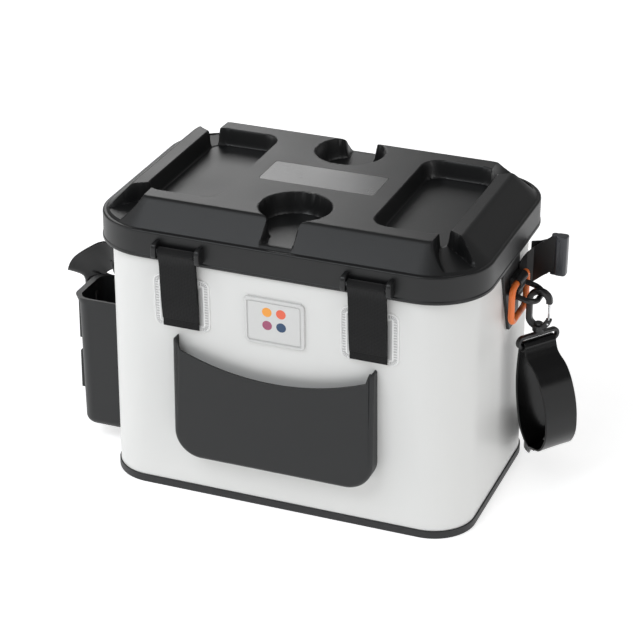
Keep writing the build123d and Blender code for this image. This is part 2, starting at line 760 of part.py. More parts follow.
def make_strap():
    strap = Part()
    for route in strap_routes():
        strap += ribbon(route, strap_width, strap_thickness)
    return strap + fold_of_strap(slide_turn_right) + mirrored(fold_of_strap(slide_turn_left))


def make_slider():
    """Adjuster on the strap behind the bag: a slotted plate with two windows and a middle bar."""
    plane = Plane(strap_spot(*slider_spot), x_dir=(-1, 0, slider_slope), z_dir=(0, 1, 0))
    plate = extrude(RectangleRounded(32, strap_width + 9, 4), slider_thickness / 2, both=True)
    plate = fillet(plate.faces().filter_by(Axis.Z).edges(), 1.2)
    plate -= Box(50, strap_width + 1.2, strap_thickness + 1.0)
    for side in (-1, 1):
        plate -= Pos(side * 7.5, 0, slider_thickness / 2) * Box(9, strap_width + 1.2, slider_thickness)
    return plane * plate


belt_bar = (tab_face + belt_reach, side_middle + belt_back)


def make_belt():
    """Short webbing sewn flat to the tab, out to its buckle, round the buckle's bar and back."""
    reach = belt_fold + belt_thickness / 2
    x, y = belt_bar
    seat = tab_face + 2 * glue + belt_thickness / 2
    main = [
        (seat, y - 25, belt_middle - 24.5, 0, 0, 1),
        (seat + 0.1, y - 13, belt_middle - 23.5, 0, 0, 1),
        (seat + 2.5, y - 6, belt_middle - 20, 0, 0, 1),
        (seat + 8.5, y - reach + 1, belt_middle - 14, 0, 0, 1),
        (x - 12, y - reach + 0.5, belt_middle - 6, 0, 0, 1),
        (x - 4.5, y - reach, belt_middle, 0, 0, 1),
        (x, y - reach, belt_middle, 0, 0, 1),
    ]
    tail = [
        (x, y + reach, belt_middle, 0, 0, 1),
        (x - 4.5, y + reach, belt_middle, 0, 0, 1),
        (x - 8, y + reach + 0.3, belt_middle - 5, 0, 0, 1),
        (x - 17, y + reach + 0.8, belt_middle - 9, 0, 0, 1),
        (x - 26, y + reach + 1.0, belt_middle - 11, 0, 0, 1),
    ]
    turn = Circle(reach + belt_thickness / 2) - Circle(belt_fold)
    turn &= Pos(10, 0) * Rectangle(20, 40)
    belt = ribbon(main, belt_width, belt_thickness, True) + ribbon(tail, belt_width, belt_thickness, True)
    return belt + Pos(x, y, belt_middle - belt_width / 2) * extrude(turn, belt_width)


def make_buckle():
    """Moulded end buckle: a rounded block whose bar holds the webbing's fold."""
    hollow = belt_fold + belt_thickness + 0.4
    high = buckle_height / 2
    body = Pos(buckle_reach / 2, 0) * RectangleRounded(buckle_reach, buckle_depth, 3.2)
    block = extrude(body, high, both=True)
    block = fillet(block.faces().filter_by(Axis.Z).edges(), 1.5)
    for side in (-1, 1):
        ridge = Pos(buckle_reach / 2 - 2, side * buckle_depth / 2, 0) * Box(3, 1.2, buckle_height - 8)
        block += ridge
    cheek = Pos(-0.5, 0) * RectangleRounded(8, 8, 3.2)
    block += extrude(cheek, high, both=True)
    block -= extrude(Circle(hollow), belt_width / 2 + 0.5, both=True)
    block -= extrude(Pos(-5, 0) * Rectangle(10, 12), belt_width / 2 + 0.5, both=True)
    block += extrude(Circle(belt_fold - 0.3), high - 0.5, both=True)
    return Pos(*belt_bar, belt_middle) * block


parts = {
    "body_wall": make_body_wall(),
    "foot_cup": make_foot_cup(),
    "floor_panel": make_floor_panel(),
    "rim_frame": make_rim_frame(),
    "lid_shell": make_lid_shell(),
    "lid_plate": make_lid_plate(),
    "lid_liner": make_lid_liner(),
    "front_strap_bars": make_bars(-1),
    "rear_hinge_bars": make_bars(1),
    "front_strap_left": make_webbing(-1, -1),
    "front_strap_right": make_webbing(1, -1),
    "hinge_webbing_left": make_webbing(-1, 1),
    "hinge_webbing_right": make_webbing(1, 1),
    "front_patch_left": make_patch(-1, "front"),
    "front_patch_right": make_patch(1, "front"),
    "rear_patch_left": make_patch(-1, "rear"),
    "rear_patch_right": make_patch(1, "rear"),
    "front_hook_pads": make_pads("front"),
    "rear_backing_pads": make_pads("rear"),
    "badge": make_badge(),
    "front_pouch": make_pouch(),
    "side_holder": make_holder(),
    "shoulder_strap": make_strap(),
    "strap_slider": make_slider(),
    "side_belt": make_belt(),
    "belt_buckle": make_buckle(),
}
pairs = {
    "side_tab": make_tab(),
    "ring_keeper": make_keeper(),
    "strap_hoop": make_hoop(),
    "side_ring": make_ring(),
    "snap_hook": make_hook(),
    "hook_gate": make_gate(),
    "gate_pin": make_gate_pin(),
}
for name, piece in pairs.items():
    parts[name + "_right"] = piece
    parts[name + "_left"] = mirrored(piece)
parts["swivel_slide_right"] = make_slide(slide_turn_right)
parts["swivel_slide_left"] = mirrored(make_slide(slide_turn_left))

os.makedirs("parts", exist_ok=True)
for name, piece in parts.items():
    solids = []
    for item in (piece if isinstance(piece, list) else [piece]):
        solids.extend(item.solids())
    export_step(solids[0] if len(solids) == 1 else Compound(solids), f"parts/{name}.step")
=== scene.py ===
import math

import bmesh
import bpy
import numpy as np
from mathutils import Matrix, Vector


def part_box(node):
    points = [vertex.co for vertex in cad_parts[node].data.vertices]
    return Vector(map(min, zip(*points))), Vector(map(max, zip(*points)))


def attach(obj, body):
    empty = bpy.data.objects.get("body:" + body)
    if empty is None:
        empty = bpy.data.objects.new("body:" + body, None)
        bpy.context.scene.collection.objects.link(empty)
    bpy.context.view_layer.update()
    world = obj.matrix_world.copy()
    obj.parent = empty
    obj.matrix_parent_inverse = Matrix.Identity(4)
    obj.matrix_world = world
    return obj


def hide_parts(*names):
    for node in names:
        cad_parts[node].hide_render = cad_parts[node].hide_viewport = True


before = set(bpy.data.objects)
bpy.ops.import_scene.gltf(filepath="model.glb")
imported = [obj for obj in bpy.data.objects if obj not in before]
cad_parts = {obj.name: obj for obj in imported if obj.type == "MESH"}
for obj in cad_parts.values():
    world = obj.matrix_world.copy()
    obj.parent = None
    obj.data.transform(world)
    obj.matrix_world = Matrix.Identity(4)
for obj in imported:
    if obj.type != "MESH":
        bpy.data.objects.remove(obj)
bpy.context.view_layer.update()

# A fishing bag with a moulded lid. Shapes are worked out in millimetres, with x along the width, -y to
# the front and z up from the ground, and are scaled to metres when a mesh is written.

mm = 0.001
farOff = 1e3    # a height or distance too large to win a minimum


# Arrays to meshes.

class surfaceSet:
    # Gathers grids of points, and writes them as one mesh.

    def __init__(self):
        self.points, self.faces, self.uvs, self.total = [], [], [], 0

    def grid(self, points, around=False, flip=False, uv=None, capStart=False, capEnd=False):
        # points is (along, across, 3), and each cell becomes one four-sided face. around joins the last
        # column to the first, and a cap closes an end with one face.
        along, across = points.shape[:2]
        index = self.total + np.arange(along * across).reshape(along, across)
        first, last = index[0].tolist(), index[-1].tolist()
        if around:
            index = np.hstack([index, index[:, :1]])
        corners = [index[:-1, :-1], index[:-1, 1:], index[1:, 1:], index[1:, :-1]]
        if flip:
            corners.reverse()
        self.faces.extend(np.stack([corner.ravel() for corner in corners], axis=1).tolist())
        if capStart:
            self.faces.append(first if flip else first[::-1])
        if capEnd:
            self.faces.append(last[::-1] if flip else last)
        self.points.append(points.reshape(-1, 3))
        self.uvs.append(np.zeros((along * across, 2)) if uv is None else uv.reshape(-1, 2))
        self.total += along * across

    def build(self, name, material, body, replaces, sharp):
        mesh = bpy.data.meshes.new(name)
        mesh.from_pydata(np.concatenate(self.points) * mm, [], self.faces)
        loops = np.zeros(len(mesh.loops), dtype=np.int32)
        mesh.loops.foreach_get("vertex_index", loops)
        layer = mesh.uv_layers.new(name="flat")
        layer.data.foreach_set("uv", np.concatenate(self.uvs)[loops].astype(np.float32).ravel())
        finishPiece(name, mesh, material, body, replaces, sharp)


def finishPiece(name, mesh, material, body, replaces, sharp):
    # Smooth faces with creases at angles over sharp degrees, then the piece's body and material slot.
    mesh.validate()
    mesh.shade_smooth()
    mesh.set_sharp_from_angle(angle=math.radians(sharp))
    mesh.materials.clear()
    mesh.materials.append(material)
    piece = bpy.data.objects.new(name, mesh)
    bpy.context.scene.collection.objects.link(piece)
    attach(piece, body)
    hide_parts(*replaces)


fittingSizes = {
    "weld": 0.00002,        # points this close become one, in metres
    "level": 0.6,           # neighbours within this angle become one face, in degrees
    "sharp": 30.0,          # creases stay over this angle
}


def smoothCopy(node, name, material, body):
    # The node's own triangles, welded, so that its rounded faces shade smoothly.
    s = fittingSizes
    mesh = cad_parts[node].data.copy()
    work = bmesh.new()
    work.from_mesh(mesh)
    work.transform(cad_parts[node].matrix_world)
    bmesh.ops.remove_doubles(work, verts=work.verts, dist=s["weld"])
    bmesh.ops.dissolve_limit(work, angle_limit=math.radians(s["level"]), verts=work.verts, edges=work.edges)
    work.to_mesh(mesh)
    work.free()
    finishPiece(name, mesh, material, body, (node,), s["sharp"])


# Outlines, profiles and paths.

def unit(vectors):
    # Each vector over its own length.
    return vectors / np.maximum(np.linalg.norm(vectors, axis=-1, keepdims=True), 1e-9)


def ways(path, closed=False):
    # The direction at each point: from the point before it to the point after it.
    if closed:
        return unit(np.roll(path, -1, axis=0) - np.roll(path, 1, axis=0))
    return unit(np.gradient(path, axis=0))


def lengthsAlong(path):
    # The length up to each point: the sum of the straight steps before it.
    return np.concatenate([[0], np.cumsum(np.linalg.norm(np.diff(path, axis=0), axis=1))])


def leftOf(outline):
    # Unit vectors into a closed outline that runs counter-clockwise: its ways, turned by 90 degrees.
    way = ways(outline, True)
    return np.stack([-way[:, 1], way[:, 0]], axis=1)


def stacked(outline, inward, insets, heights):
    # The outline repeated once for each inset, moved inwards by it and raised to its height.
    flat = outline[None] + inward[None] * insets[:, None, None]
    return np.concatenate([flat, np.broadcast_to(heights[:, None, None], flat.shape[:2] + (1,))], axis=2)


def outlineParts(perCorner, perX, perY):
    # A rounded rectangle in two parts: a point is centre * (half size - radius) + direction * radius.
    centres, directions = [], []
    corners = [(1, -1), (1, 1), (-1, 1), (-1, -1)]
    for turn, here in enumerate(corners):
        angle = np.radians(np.linspace(-90 + 90 * turn, 90 * turn, perCorner))
        way = np.stack([np.cos(angle), np.sin(angle)], axis=1)
        directions.append(way)
        centres.append(np.tile(here, (perCorner, 1)).astype(float))
        after = corners[(turn + 1) % len(corners)]
        count = perY if turn % 2 == 0 else perX
        share = np.linspace(0, 1, count + 2)[1:-1, None]
        centres.append(np.array(here) * (1 - share) + np.array(after) * share)
        directions.append(np.tile(way[-1], (count, 1)))
    return np.concatenate(centres), np.concatenate(directions)


def roundedOutline(width, depth, radius, perCorner):
    # One rounded rectangle about the origin, from its two parts.
    centres, directions = outlineParts(perCorner, 1, 1)
    return centres * (np.array([width, depth]) / 2 - radius) + directions * radius


def roundedLoops(rings, parts):
    # Stacked rounded rectangles, each ring (width, depth, corner, height), as an (along, across, 3) array.
    centres, directions = parts
    rings = np.asarray(rings, float)
    half = rings[:, None, :2] / 2 - rings[:, None, 2:3]
    flat = centres[None] * half + directions[None] * rings[:, None, 2:3]
    height = np.broadcast_to(rings[:, None, 3:4], flat.shape[:2] + (1,))
    return np.concatenate([flat, height], axis=2)


def softPath(corners, steps=6, closed=False):
    # Straight runs whose corners are rounded: each corner is (coordinates..., setback), and the bend is
    # the quadratic curve from setback before the corner to setback after it.
    corners = [np.asarray(corner, float) for corner in corners]
    count = len(corners)
    share = np.linspace(0, 1, steps)[:, None]
    points = []
    for index, corner in enumerate(corners):
        here, setback = corner[:-1], corner[-1]
        if setback <= 0 or (not closed and index in (0, count - 1)):
            points.append(here[None])
            continue
        before = corners[index - 1][:-1] - here
        after = corners[(index + 1) % count][:-1] - here
        start = here + before / np.linalg.norm(before) * setback
        end = here + after / np.linalg.norm(after) * setback
        points.append((1 - share) ** 2 * start + 2 * share * (1 - share) * here + share ** 2 * end)
    return np.concatenate(points)


def evenly(path, step, closed=False):
    # The same path with points a step apart, each coordinate linear in the length along the path.
    if closed:
        path = np.vstack([path, path[:1]])
    length = lengthsAlong(path)
    count = max(int(round(length[-1] / step)), 3)
    places = np.linspace(0, length[-1], count + 1)
    if closed:
        places = places[:-1]
    return np.stack([np.interp(places, length, path[:, axis]) for axis in range(path.shape[1])], axis=1)


def throughPoints(stations, step):
    # A cubic Hermite curve through the stations, its slopes from their neighbours, sampled a step apart.
    stations = np.asarray(stations, float)
    knots = lengthsAlong(stations[:, :3])
    gaps = np.diff(knots)
    slopes = np.gradient(stations, knots, axis=0)
    places = np.linspace(0, knots[-1], int(knots[-1] / step) + 2)
    cell = np.clip(np.searchsorted(knots, places, side="right") - 1, 0, len(gaps) - 1)
    span = gaps[cell][:, None]
    t = ((places - knots[cell])[:, None]) / span
    first, last = stations[cell], stations[cell + 1]
    firstSlope, lastSlope = slopes[cell] * span, slopes[cell + 1] * span
    return ((2 * t ** 3 - 3 * t ** 2 + 1) * first + (t ** 3 - 2 * t ** 2 + t) * firstSlope
            + (3 * t ** 2 - 2 * t ** 3) * last + (t ** 3 - t ** 2) * lastSlope)


def band(path, across, width, thickness, edge, columns=12):
    # A flat strap: each path point carries a rectangle, its width along across and its thickness along
    # the band's own normal, with quarter-round edges. The UV is the distance across and the length along.
    along = ways(path)
    across = unit(across - along * np.sum(across * along, axis=1, keepdims=True))
    out = np.cross(along, across)
    half, thick = width / 2, thickness / 2
    bend = np.linspace(0, np.pi / 2, 4)    # angles round one edge
    side = np.linspace(edge - half, half - edge, columns)
    swell = edge * np.sin(bend)
    sideways = np.concatenate([side, half - edge + swell, half - edge + swell[::-1],
                               side[::-1], edge - half - swell, edge - half - swell[::-1]])
    low = thick - edge + edge * np.cos(bend)
    upward = np.concatenate([np.full(columns, thick), low, -low[::-1],
                             np.full(columns, -thick), -low, low[::-1]])
    points = (path[:, None] + across[:, None] * sideways[None, :, None]
              + out[:, None] * upward[None, :, None])
    uv = np.stack(np.broadcast_arrays(sideways[None] + half, lengthsAlong(path)[:, None]), axis=2)
    return points, uv


def plate(outline, thickness, edge, steps=4):
    # A flat plate from z = 0 to thickness with rounded edges: at the foot the outline is drawn in by
    # edge * (1 - sin) while z is edge * (1 - cos), and at the top the two change places.
    bend = np.linspace(0, np.pi / 2, steps)
    insets = np.concatenate([edge * (1 - np.sin(bend)), edge * (1 - np.cos(bend))])
    heights = np.concatenate([edge * (1 - np.cos(bend)), thickness - edge + edge * np.sin(bend)])
    return stacked(outline, leftOf(outline), insets, heights)


def placed(points, origin, xWay, yWay, zWay):
    # Origin plus x, y and z times the three axes.
    return points @ np.array([xWay, yWay, zWay], float) + np.asarray(origin, float)


# Materials.

class tone:
    # One socket of a material's nodes, with the usual arithmetic.

    def __init__(self, paint, socket):
        self.paint, self.socket = paint, socket

    def join(self, operation, first, second):
        return self.paint.node("ShaderNodeMath", {"operation": operation}, {0: first, 1: second})

    def __add__(self, other):
        return self.join("ADD", self, other)

    def __radd__(self, other):
        return self.join("ADD", other, self)

    def __sub__(self, other):
        return self.join("SUBTRACT", self, other)

    def __rsub__(self, other):
        return self.join("SUBTRACT", other, self)

    def __mul__(self, other):
        return self.join("MULTIPLY", self, other)

    def __rmul__(self, other):
        return self.join("MULTIPLY", other, self)

    def __gt__(self, other):
        return self.join("GREATER_THAN", self, other)

    def __lt__(self, other):
        return self.join("LESS_THAN", self, other)


class paintPot:
    # A material whose nodes are written as expressions.

    def __init__(self, name, color, roughness, **fixed):
        self.material = bpy.data.materials.new(name)
        self.material.use_nodes = True
        self.nodes = self.material.node_tree.nodes
        self.links = self.material.node_tree.links
        self.shader = self.nodes["Principled BSDF"]
        self.shader.inputs["Base Color"].default_value = (*color, 1)
        self.shader.inputs["Roughness"].default_value = roughness
        for key, value in fixed.items():
            self.shader.inputs[key.replace("_", " ")].default_value = value
        self.material.diffuse_color = (*color, 1)

    def node(self, kind, settings=None, inputs=None, output=0):
        # Any node: its settings first, then the values or links of its sockets.
        made = self.nodes.new(kind)
        for key, value in (settings or {}).items():
            setattr(made, key, value)
        for key, value in (inputs or {}).items():
            if isinstance(value, tone):
                self.links.new(value.socket, made.inputs[key])
            else:
                made.inputs[key].default_value = value
        return tone(self, made.outputs[output])

    def feed(self, name, value):
        self.links.new(value.socket, self.shader.inputs[name])

    def place(self):
        # Object coordinates in millimetres.
        here = self.node("ShaderNodeTexCoord", output="Object")
        return self.node("ShaderNodeVectorMath", {"operation": "SCALE"}, {0: here, "Scale": 1 / mm})

    def flat(self):
        # The piece's own UV map, in millimetres.
        return self.node("ShaderNodeUVMap", {"uv_map": "flat"})

    def axes(self, vector):
        # The vector's three numbers.
        split = self.nodes.new("ShaderNodeSeparateXYZ")
        self.links.new(vector.socket, split.inputs[0])
        return [tone(self, output) for output in split.outputs]

    def noise(self, vector, size, rough=0.5):
        # A cloudy value from 0 to 1 whose blobs are about size millimetres across.
        return self.node("ShaderNodeTexNoise", None,
                         {"Vector": vector, "Scale": 1.0 / size, "Detail": 3.0, "Roughness": rough})

    def wave(self, value, pitch):
        # A sine of the given pitch, from 0 to 1.
        sine = self.node("ShaderNodeMath", {"operation": "SINE"}, {0: value * (2 * math.pi / pitch)})
        return sine * 0.5 + 0.5

    def blend(self, share, first, second):
        # The first colour where share is 0, the second where it is 1.
        first, second = (end if isinstance(end, tone) else (*end, 1) for end in (first, second))
        return self.node("ShaderNodeMix", {"data_type": "RGBA"}, {0: share, 6: first, 7: second}, output=2)

    def bump(self, height, depth):
        # A height from 0 to 1, raised to depth millimetres.
        inputs = {"Height": height, "Distance": depth * mm, "Strength": 1.0}
        return self.node("ShaderNodeBump", None, inputs)


# Colour, mean roughness, the grain's size and depth, and how far the slow clouds shift colour and
# roughness; the rest are the shader's own values.
grainValues = {
    "foam": {"name": "bodyFoam", "color": (0.75, 0.75, 0.735), "roughness": 0.42, "grain": 1.3,
             "depth": 0.05, "cloud": 0.012, "spread": 0.06, "Coat_Weight": 0.08, "Coat_Roughness": 0.35},
    "lid": {"name": "lidPlastic", "color": (0.0062, 0.0064, 0.0067), "roughness": 0.40, "grain": 0.9,
            "depth": 0.035, "cloud": 0.10, "spread": 0.07, "Specular_IOR_Level": 0.46},
    "foot": {"name": "footRubber", "color": (0.010, 0.010, 0.011), "roughness": 0.50, "grain": 1.1,
             "depth": 0.06},
    "pouch": {"name": "pouchRubber", "color": (0.010, 0.0105, 0.011), "roughness": 0.43, "grain": 0.8,
              "depth": 0.03, "cloud": 0.08, "spread": 0.06, "Specular_IOR_Level": 0.42},
    "tab": {"name": "tabRubber", "color": (0.006, 0.006, 0.0065), "roughness": 0.48, "grain": 0.8,
            "depth": 0.04},
    "hard": {"name": "hardwarePlastic", "color": (0.006, 0.006, 0.0065), "roughness": 0.30, "grain": 0.6,
             "depth": 0.015},
    "buckle": {"name": "bucklePlastic", "color": (0.040, 0.042, 0.048), "roughness": 0.32, "grain": 0.6,
               "depth": 0.015},
    "orange": {"name": "ringPlastic", "color": (0.86, 0.19, 0.035), "roughness": 0.34, "grain": 0.7,
               "depth": 0.015, "cloud": 0.05},
    "liner": {"name": "linerFoam", "color": (0.03, 0.03, 0.032), "roughness": 0.8, "grain": 1.8,
              "depth": 0.12},
    "strap": {"name": "strapSkin", "color": (0.003, 0.003, 0.0032), "roughness": 0.17, "grain": 3.5,
              "depth": 0.04, "cloud": 0.1, "spread": 0.05, "Specular_IOR_Level": 0.32},
    "plate": {"name": "platePlastic", "color": (0.013, 0.0135, 0.014), "roughness": 0.26, "grain": 0.9,
              "depth": 0.01},
}
cloudSize = 60.0


def grainPaint(name, color, roughness, grain, depth, cloud=0.06, spread=0.08, **fixed):
    # A moulded surface: fine grain in the normal, slow clouds in colour and roughness.
    paint = paintPot(name, color, roughness, **fixed)
    here = paint.place()
    fine = paint.noise(here, grain, rough=0.6)
    slow = paint.noise(here, cloudSize)
    dark = tuple(part * (1 - cloud) for part in color)
    light = tuple(min(part * (1 + cloud), 1) for part in color)
    paint.feed("Base Color", paint.blend(slow, dark, light))
    paint.feed("Roughness", (slow - 0.5) * spread + (fine - 0.5) * spread + roughness)
    paint.feed("Normal", paint.bump(fine, depth))
    return paint.material


webbingValues = {
    "color": (0.0045, 0.0045, 0.0047), "dark": 0.6, "light": 1.9,       # shares of the colour
    "roughness": 0.8, "roughSpread": 0.12, "specular": 0.25, "sheen": 0.08, "sheenRoughness": 0.5,
    "pitch": 1.5, "depth": 0.25, "ribShare": 0.7,
    "slantPitch": 2.2, "slant": 0.35, "threadPitch": 1.1,               # in rib pitches
    "wearSize": 18.0, "wearShare": 0.4,
}


def webbingPaint(name):
    # Ribs across the band, each slanted to and fro by a slower wave, and crossed by a finer thread, on the
    # band's own UV. Their height also sets the colour: painted shade in the hollows and painted highlight
    # on the crests. Worn places are lighter.
    s = webbingValues
    paint = paintPot(name, s["color"], s["roughness"], Specular_IOR_Level=s["specular"],
                     Sheen_Weight=s["sheen"], Sheen_Roughness=s["sheenRoughness"])
    x, y, _ = paint.axes(paint.flat())
    pitch = s["pitch"]
    rib = paint.wave(y + paint.wave(x, pitch * s["slantPitch"]) * pitch * s["slant"], pitch)
    thread = paint.wave(x, pitch * s["threadPitch"])
    height = rib * s["ribShare"] + thread * (1 - s["ribShare"])
    wear = paint.noise(paint.place(), s["wearSize"])
    dark = tuple(part * s["dark"] for part in s["color"])
    light = tuple(part * s["light"] for part in s["color"])
    # Colour from the rib height: painted shade in the hollows and painted highlight on the crests, mixed
    # with lighter worn places.
    ribShadeAndWear = height * (1 - s["wearShare"]) + wear * s["wearShare"]
    paint.feed("Base Color", paint.blend(ribShadeAndWear, dark, light))
    paint.feed("Roughness", wear * s["roughSpread"] + (s["roughness"] - s["roughSpread"] / 2))
    paint.feed("Normal", paint.bump(height, s["depth"]))
    return paint.material


filmValues = {
    "color": (0.86, 0.86, 0.85), "dark": 0.52,                          # share of the colour on a rib
    "roughness": 0.24, "roughSpread": 0.15, "roughDrop": 0.07, "coat": 0.3, "coatRoughness": 0.12,
    "ribsFrom": 2.0, "ribsTo": 5.2, "pitch": 2.9, "depth": 0.5, "ribShade": 0.8,
    "cloudSize": 9.0, "cloudShade": 0.06, "cloudHeight": 0.2,
}


def filmPaint(name):
    # Clear film: fine ribs across the border, on the UV's distance in from the edge and length along it.
    s = filmValues
    paint = paintPot(name, s["color"], s["roughness"],
                     Coat_Weight=s["coat"], Coat_Roughness=s["coatRoughness"])
    inward, along, _ = paint.axes(paint.flat())
    ribbed = (inward > s["ribsFrom"]) * (inward < s["ribsTo"])
    rib = paint.wave(along, s["pitch"]) * ribbed
    cloud = paint.noise(paint.place(), s["cloudSize"])
    dark = tuple(part * s["dark"] for part in s["color"])
    paint.feed("Base Color", paint.blend(rib * s["ribShade"] + cloud * s["cloudShade"], s["color"], dark))
    paint.feed("Roughness", cloud * s["roughSpread"] + (s["roughness"] - s["roughDrop"]))
    paint.feed("Normal", paint.bump(rib + cloud * s["cloudHeight"], s["depth"]))
    return paint.material


badgeValues = {
    "color": (0.66, 0.66, 0.65), "roughness": 0.38, "roughSpread": 0.1, "grain": 0.9, "depth": 0.02,
    "dot": 5.0, "apart": 7.2, "lift": 3.5,      # the dots' radius, half their spacing, how far up they sit
    "dots": {(-1, 1): (0.90, 0.36, 0.05), (1, 1): (0.82, 0.14, 0.07),
             (-1, -1): (0.36, 0.08, 0.16), (1, -1): (0.02, 0.06, 0.14)},
}


def badgePaint(name):
    # Light rubber with four flat dots in a square: inside one, across squared plus upward squared is less
    # than the radius squared.
    s = badgeValues
    paint = paintPot(name, s["color"], s["roughness"])
    low, high = (np.array(corner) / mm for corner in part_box("badge"))
    x, _, z = paint.axes(paint.place())
    tint = s["color"]
    for (column, row), dotColor in s["dots"].items():
        across = x - float((low[0] + high[0]) / 2 + column * s["apart"])
        upward = z - float((low[2] + high[2]) / 2 + s["lift"] + row * s["apart"])
        inside = (across * across + upward * upward) < s["dot"] ** 2
        tint = paint.blend(inside, tint, dotColor)
    grain = paint.noise(paint.place(), s["grain"])
    paint.feed("Base Color", tint)
    paint.feed("Roughness", grain * s["roughSpread"] + (s["roughness"] - s["roughSpread"] / 2))
    paint.feed("Normal", paint.bump(grain, s["depth"]))
    return paint.material


steelValues = {
    "color": (0.62, 0.63, 0.64), "roughness": 0.28, "roughLow": 0.2, "roughSpread": 0.15,
    "grain": 0.8, "depth": 0.01,
}


def steelPaint(name):
    # Bare steel: one fine noise in the roughness and the normal.
    s = steelValues
    paint = paintPot(name, s["color"], s["roughness"], Metallic=1.0)
    grain = paint.noise(paint.place(), s["grain"])
    paint.feed("Roughness", grain * s["roughSpread"] + s["roughLow"])
    paint.feed("Normal", paint.bump(grain, s["depth"]))
    return paint.material


print("materials")
paints = {key: grainPaint(**values) for key, values in grainValues.items()}
paints["film"] = filmPaint("patchFilm")
paints["webbing"] = webbingPaint("webbing")
paints["badge"] = badgePaint("badgeRubber")
paints["steel"] = steelPaint("steel")


# Heights and distances over the plan.

def softMin(first, second, blend):
    # The smaller of two values, its corner rounded over blend: less (1 - gap / blend) squared * blend / 4.
    near = np.maximum(blend - np.abs(first - second), 0) / blend
    return np.minimum(first, second) - near ** 2 * blend / 4


def softMax(first, second, blend):
    # The larger of two values, rounded in the same way.
    return -softMin(-np.asarray(first), -np.asarray(second), blend)


def boxDistance(x, y, halfX, halfY, radius):
    # Distance outside a rounded rectangle, negative inside it.
    pastX, pastY = np.abs(x) - halfX + radius, np.abs(y) - halfY + radius
    outside = np.hypot(np.maximum(pastX, 0), np.maximum(pastY, 0))
    return outside + np.minimum(np.maximum(pastX, pastY), 0) - radius


def spacedLines(runs, last):
    # Grid lines from 0 to last, mirrored about zero. Each run is (start, step), up to the next run's start.
    ends = [start for start, _ in runs[1:]] + [last]
    lines = [np.arange(start, end - step * 0.4, step) for (start, step), end in zip(runs, ends)]
    lines = np.concatenate(lines + [[last]])
    return np.concatenate([-lines[:0:-1], lines])


def squareToRounded(x, y, halfX, halfY, radius):
    # Bends the four corner squares of a grid into quarter discs: a * sqrt(1 - b * b / 2).
    ax, ay = np.abs(x), np.abs(y)
    a = np.clip((ax - (halfX - radius)) / radius, 0, 1)
    b = np.clip((ay - (halfY - radius)) / radius, 0, 1)
    corner = (a > 0) & (b > 0)
    newX = np.where(corner, halfX - radius + radius * a * np.sqrt(1 - b * b / 2), ax)
    newY = np.where(corner, halfY - radius + radius * b * np.sqrt(1 - a * a / 2), ay)
    return np.sign(x) * newX, np.sign(y) * newY


def snapTo(x, y, distance, level, reach):
    # Moves the grid points within reach of a contour onto it: back along the distance's slope, by the
    # value less the level over the slope's length.
    small, leastSlope = 0.05, 0.5
    value = distance(x, y)
    slopeX = (distance(x + small, y) - value) / small
    slopeY = (distance(x, y + small) - value) / small
    size = np.maximum(slopeX ** 2 + slopeY ** 2, leastSlope)
    off = np.where(np.abs(value - level) < reach, value - level, 0.0)
    return x - off * slopeX / size, y - off * slopeY / size


# Lid.

lidSizes = {
    "width": 400.0, "depth": 270.0, "corner": 61.0,                     # over the bead
    "foot": 260.5, "rim": 288.5, "deck": 312.0,                         # heights
    "bead": 0.7, "beadHeight": 3.0, "beadSlope": 0.5, "wall": 3.0, "wallTop": 285.4,
    "ledge": 4.0, "bevelRun": 25.0, "lap": (2.5, 2.3), "tuck": 0.25,    # the skirt's edge under the deck's
    "trayInner": 78.3, "trayOuter": 155.8, "trayHalfDepth": 87.0, "trayCorner": 17.0,
    "trayFloor": 294.5, "trayDraft": 0.2,                               # draft is run over rise
    "cupRadius": 33.0, "cupOffset": 75.8, "cupFloor": 291.1, "cupSteep": 9.0, "cupLip": 2.33,
    "slotNear": 14.0, "slotFar": 18.0, "slotFrom": 107.0, "slotRun": 37.3,      # half widths of a channel
    "plateWidth": 120.0, "plateDepth": 48.0, "plateCorner": 3.0, "plateSunk": 1.0,
    "valleyFrom": (120.0, 60.0), "bedFrom": (152.5, 81.5), "bedFall": 0.0985,
    "stripEdge": 147.0, "stripLeast": 148.2, "stripSpread": 20.0, "stripRun": 37.0,
    "barTop": (155.8, 74.0, 16.6, 11.0), "barFoot": (158.8, 76.7, 26.2, 19.8), "barLeast": 1.2,
    "softBevel": 2.2, "softTray": 4.0, "softCup": 9.0, "softChannel": 4.0,      # roundings between slopes
    "softBed": 1.0, "softBar": 2.0, "softValley": 3.0,
    "softTrayLip": 3.4, "softCupLip": 3.4, "softValleyLip": 2.0,
    "runsAcross": [(0, 2.0), (12, 1.0), (38, 2.2), (58.5, 0.5), (61.5, 2.2), (76, 0.5), (83, 2.2),
                   (141, 1.0), (151, 0.5), (158, 1.25)],
    "runsAlong": [(0, 2.2), (22.5, 0.5), (25.5, 2.0), (40, 1.1), (80, 0.5), (90, 1.2), (103, 0.6),
                  (108, 1.2)],
    "snap": 0.5, "skirtPoints": (24, 40, 24), "sharp": 40.0,
}
lugSizes = {
    "middle": 96.5, "apart": 22.5, "thickness": 5.0, "edge": 0.9, "step": 1.2, "bend": 8,
    "outline": [(130.5, 264.9, 3), (146.0, 264.9, 5.5), (146.0, 281.6, 5.5), (130.5, 281.6, 3)],
}


def deckPlan():
    # Half width, half depth and corner of the deck, inside the bead and the ledge.
    s = lidSizes
    inset = s["bead"] + s["ledge"]
    return s["width"] / 2 - inset, s["depth"] / 2 - inset, s["corner"] - inset


def trayFall():
    # How far a tray's wall leans inwards from the deck to the tray's floor.
    s = lidSizes
    return (s["deck"] - s["trayFloor"]) * s["trayDraft"]


def trayDistance(x, y):
    # Distance outside the nearer tray's floor.
    s = lidSizes
    halfX = (s["trayOuter"] - s["trayInner"]) / 2 - trayFall()
    middle = (s["trayInner"] + s["trayOuter"]) / 2
    return boxDistance(np.abs(x) - middle, y, halfX, s["trayHalfDepth"] - trayFall(), s["trayCorner"])


